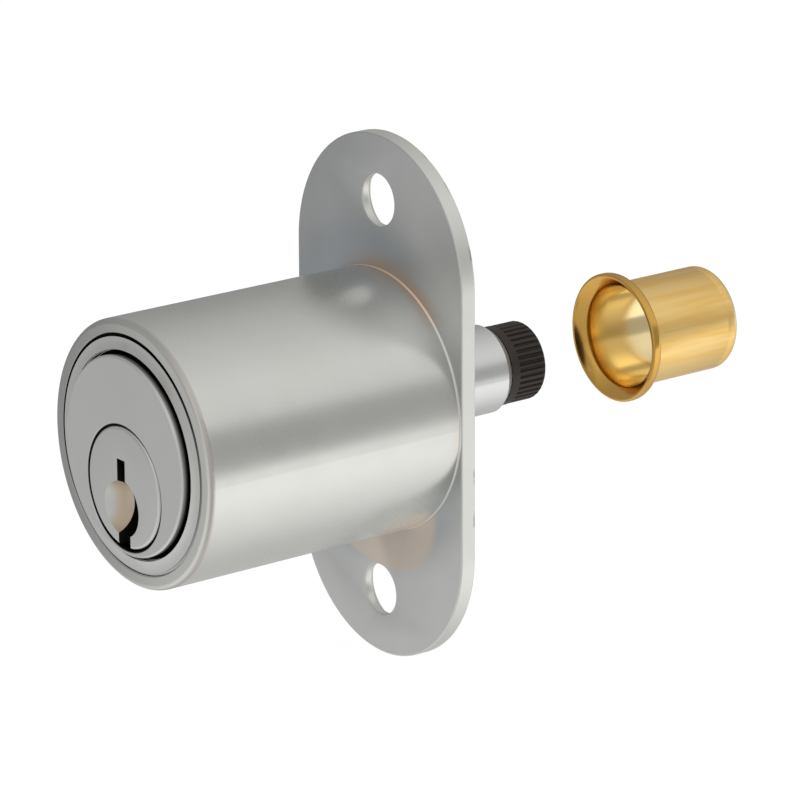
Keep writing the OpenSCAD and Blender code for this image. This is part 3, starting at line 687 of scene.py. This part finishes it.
def lathe(name, profile, material=None, z=0.0, steps=128, angle=30, solid=False):
    """Turns a profile of (radius, place along Y) points around an axis along Y.

    A hollow piece's profile is closed. A solid one has a flat cap at its first and last point."""
    radius, place = profile[0]
    piece = add_circle(steps, radius, place, z, solid)
    edit_all()
    path = profile if solid else profile + profile[:1]
    for next_radius, next_place in path[1:]:
        extrude(next_place - place)
        share = next_radius / radius
        bpy.ops.transform.resize(value=(share, 1, share))
        radius, place = next_radius, next_place
    bpy.ops.mesh.select_all(action="SELECT")
    bpy.ops.mesh.remove_doubles(threshold=0.002 * MM)
    end_edit()
    return finish_piece(piece, name, material, angle)


def prism(name, outline, start, end, material=None):
    """Extrudes an outline of (x, z) points along Y."""
    piece = add_circle(len(outline), 1, start, 0, True)
    bpy.ops.object.transform_apply(location=True, rotation=True)
    edit_all()
    mesh = bmesh.from_edit_mesh(piece.data)
    for corner, (x, z) in zip(mesh.verts, outline):
        corner.co = Vector((x, start, z)) * MM
    bmesh.update_edit_mesh(piece.data)
    extrude(end - start)
    end_edit()
    return finish_piece(piece, name, material)


def apply_modifier(piece, kind, **settings):
    select_only(piece)
    modifier = piece.modifiers.new(kind.lower(), kind)
    for key, value in settings.items():
        setattr(modifier, key, value)
    bpy.ops.object.modifier_apply(modifier=modifier.name)


def combine(piece, operation, other):
    """Applies a boolean and deletes the other object. Its faces keep its material."""
    apply_modifier(
        piece, "BOOLEAN", operation=operation, solver="EXACT", object=other, material_mode="TRANSFER")
    bpy.data.objects.remove(other)


def arc(centre, radius, start, end, steps):
    """Points on an arc around a centre, from one angle in degrees to another."""
    turn = [math.radians(start + (end - start) * i / steps) for i in range(steps + 1)]
    return [(centre[0] + radius * math.cos(t), centre[1] + radius * math.sin(t)) for t in turn]


# Pieces


def plate_hole_tool(name, radius, sink, height, steps):
    """Cutter for a hole in the flange that widens by sink at the back."""
    profile = [(radius, -1), (radius, PLATE_T - sink), (radius + sink + 1, PLATE_T + 1)]
    return lathe(name, profile, z=height, steps=steps, solid=True)


def make_plate():
    """Stamped flange with eased edges, two countersunk holes and a seat for the end cap."""
    centre = PLATE_TOP - PLATE_R
    outline = arc((0, centre), PLATE_R, 0, 180, 48) + arc((0, -centre), PLATE_R, -180, 0, 48)
    plate = prism("plate", outline, 0, PLATE_T)
    for height in (SCREW_Z, -SCREW_Z):
        combine(plate, "DIFFERENCE", plate_hole_tool("screw_hole", SCREW_HOLE_R, SINK_W, height, 96))
    combine(plate, "DIFFERENCE", plate_hole_tool("boss_hole", BOSS_HOLE_R, BOSS_LIP, SHAFT_Z, 128))
    apply_modifier(
        plate, "BEVEL", width=PLATE_EDGE * MM, segments=3, limit_method="ANGLE", angle_limit=math.radians(40))
    finish_piece(plate, "plate", MATERIALS["satin_chrome_plate"], 35)
    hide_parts("flange_plate")
    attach(plate, "barrel")


def make_braze_bead():
    """Thin bright bead of brazing metal where the barrel meets the flange."""
    profile = [
        (BARREL_R - 0.1, -0.3), (BARREL_R + 0.01, -0.22), (BARREL_R + 0.07, -0.12),
        (BARREL_R + 0.1, -0.04), (BARREL_R + 0.11, 0.0), (BARREL_R - 0.1, 0.0)]
    bead = lathe("braze_bead", profile, BRAZE_METAL, steps=192, angle=80)
    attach(bead, "barrel")


def make_carrier_crown():
    """Turned crown on the carrier's face, higher next to the core, with the floors of the gaps beside it."""
    front = CARRIER_FRONT
    floor_r = CORE_R + 0.02
    inner = CORE_R + CROWN_GAP
    outer = CARRIER_FACE_R - 0.03
    profile = [
        (floor_r, front + CROWN_BACK), (floor_r, front + CROWN_FLOOR), (inner, front + CROWN_FLOOR),
        (inner, front - 0.17), (inner + 0.03, front - 0.2), (inner + 0.3, front - 0.13),
        (inner + 0.6, front - 0.07), (inner + 0.9, front - 0.03), (inner + 1.3, front - 0.004),
        (outer, front + 0.1), (outer, front + CROWN_RIM), (CARRIER_R, front + CROWN_RIM),
        (CARRIER_R, front + CROWN_BACK)]
    crown = lathe("carrier_crown", profile, MATERIALS["satin_chrome_face"], steps=192)
    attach(crown, "carrier")


def scoop_tool():
    """Round-nosed cutter that comes in slanting from the left."""
    select_none()
    bpy.ops.mesh.primitive_uv_sphere_add(segments=96, ring_count=48, radius=SCOOP_R * MM)
    tool = bpy.context.object
    bpy.ops.object.mode_set(mode="EDIT")
    bpy.ops.mesh.select_all(action="DESELECT")
    mesh = bmesh.from_edit_mesh(tool.data)
    for corner in mesh.verts:
        corner.select_set(corner.co.z > 0.001 * MM)
    mesh.select_flush(True)
    bmesh.update_edit_mesh(tool.data)
    bpy.ops.transform.translate(value=(0, 0, SCOOP_LENGTH * MM))
    end_edit()
    forward = Vector((-math.sin(SCOOP_TILT), -math.cos(SCOOP_TILT), 0))
    tool.rotation_euler = forward.to_track_quat("Z", "Y").to_euler()
    tool.scale = (SCOOP_FLAT, 1, 1)
    tool.location = Vector((SCOOP_X, PLUG_FRONT - SCOOP_OUT, PLUG_Z - SCOOP_DROP)) * MM
    return finish_piece(tool, "scoop_tool", WORN_PLATING)


def keyway_tool():
    """Cutter for the keyway, narrow at the top and stepped to the right below."""
    left = KEY_X - KEY_TOP_W / 2
    right = KEY_X + KEY_TOP_W / 2
    low_left = left + KEY_STEP
    low_right = low_left + KEY_LOW_W
    bottom = -PLUG_HEAD_R - 1
    left_top, left_bottom = KEY_LEFT_SLOPE
    right_bottom, right_top = KEY_RIGHT_SLOPE
    outline = [
        (left, KEY_TOP_Z), (left, left_top), (low_left, left_bottom), (low_left, bottom),
        (low_right, bottom), (low_right, right_bottom), (right, right_top), (right, KEY_TOP_Z)]
    return prism(
        "keyway_tool", [(x, z + PLUG_Z) for x, z in outline], PLUG_FRONT - 1, KEYWAY_BACK, DARK_CHANNEL)


def pin_hole_tool(place):
    """Cutter for a pin hole, from its floor to past the plug's top."""
    select_none()
    bpy.ops.mesh.primitive_cylinder_add(
        vertices=48, radius=PIN_HOLE_R * MM, depth=PLUG_R * MM,
        location=(KEY_X * MM, place * MM, (PLUG_Z + PIN_FLOOR + PLUG_R / 2) * MM))
    return finish_piece(bpy.context.object, "pin_hole", DARK_CHANNEL)


def make_plug():
    """Plug with its rounded head, guide hollow, keyway, pin holes and tail."""
    chrome = MATERIALS["satin_chrome_face"]
    nose = arc((PLUG_HEAD_R - PLUG_ROUND, PLUG_FRONT + PLUG_ROUND), PLUG_ROUND, -90, 0, 8)
    profile = [
        *nose, (PLUG_HEAD_R, PLUG_HEAD_BACK), (PLUG_R, PLUG_HEAD_BACK), (PLUG_R, CLIP_FRONT),
        (CLIP_R, CLIP_FRONT), (CLIP_R, CLIP_BACK), (PLUG_R, CLIP_BACK), (PLUG_R, PLUG_TAIL)]
    plug = lathe("plug_body", profile, chrome, z=PLUG_Z, steps=160, solid=True)
    side = TANG_W / 2
    low = PLUG_Z - TANG_H / 2
    high = PLUG_Z + TANG_H / 2
    tang = [(-side, low), (side, low), (side, high), (-side, high)]
    combine(plug, "UNION", prism("tang", tang, PLUG_TAIL - TANG_ROOT, PLUG_BACK, chrome))
    combine(plug, "DIFFERENCE", keyway_tool())
    combine(plug, "DIFFERENCE", scoop_tool())
    place = CORE_FRONT + FIRST_PIN
    while place < CORE_BACK - LAST_PIN:
        combine(plug, "DIFFERENCE", pin_hole_tool(place))
        place += PIN_PITCH
    combine(plug, "DIFFERENCE", lathe(
        "cam_screw_hole", [(CAM_SCREW_R, PLUG_TAIL - CAM_SCREW_DEPTH), (CAM_SCREW_R, PLUG_BACK + 1)],
        DARK_CHANNEL, z=PLUG_Z, steps=48, solid=True))
    plug.name = "plug_piece"
    select_only(plug)
    bpy.ops.object.shade_smooth_by_angle(angle=math.radians(30))
    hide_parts("plug")
    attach(plug, "plug")


def make_bush():
    """Strike bush spun from thin brass tube: a rolled rim, a flared mouth and a curled far end."""
    mouth = [
        (BUSH_BORE, BUSH_FRONT + 3.7), (BUSH_BORE + 0.06, BUSH_FRONT + 2.7),
        (BUSH_R - 0.14, BUSH_FRONT + 1.6), (BUSH_R - 0.08, BUSH_CREASE + 0.04),
        (BUSH_R - 0.05, BUSH_CREASE - 0.04), (BUSH_R + 0.2, BUSH_CREASE - 0.32),
        (BUSH_R + 0.5, BUSH_CREASE - 0.64)]
    lip = arc((BUSH_RIM_R - BUSH_LIP, BUSH_FRONT + BUSH_LIP), BUSH_LIP, -130, 0, 12)
    bead = arc((BUSH_RIM_R - BUSH_BEAD, BUSH_FRONT + BUSH_BEAD), BUSH_BEAD, 0, 90, 10)
    behind_rim = BUSH_FRONT + 2 * BUSH_BEAD
    foot = [(BUSH_R + 0.08, behind_rim), (BUSH_R, behind_rim + 0.08)]
    line = [(BUSH_R, BUSH_LINE - 0.1), (BUSH_R - 0.04, BUSH_LINE), (BUSH_R, BUSH_LINE + 0.1)]
    end_centre = (BUSH_R - BUSH_END_R, BUSH_BACK - BUSH_END_R)
    end = arc(end_centre, BUSH_END_R, 0, 60, 6)
    inner_end = arc(end_centre, BUSH_END_INNER_R, 44, 0, 4)
    profile = [*mouth, *lip, *bead, *foot, *line, *end, (BUSH_OPENING, BUSH_BACK - 0.3), *inner_end]
    bush = lathe("bush", profile, MATERIALS["polished_brass"], z=SHAFT_Z, steps=160, angle=40)
    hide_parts("strike_bush")
    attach(bush, "strike")


bpy.context.scene.view_settings.view_transform = "Standard"
make_camera()
make_world()
make_floor()
make_softbox()
dress_nodes()
make_plate()
make_braze_bead()
make_carrier_crown()
make_plug()
make_bush()
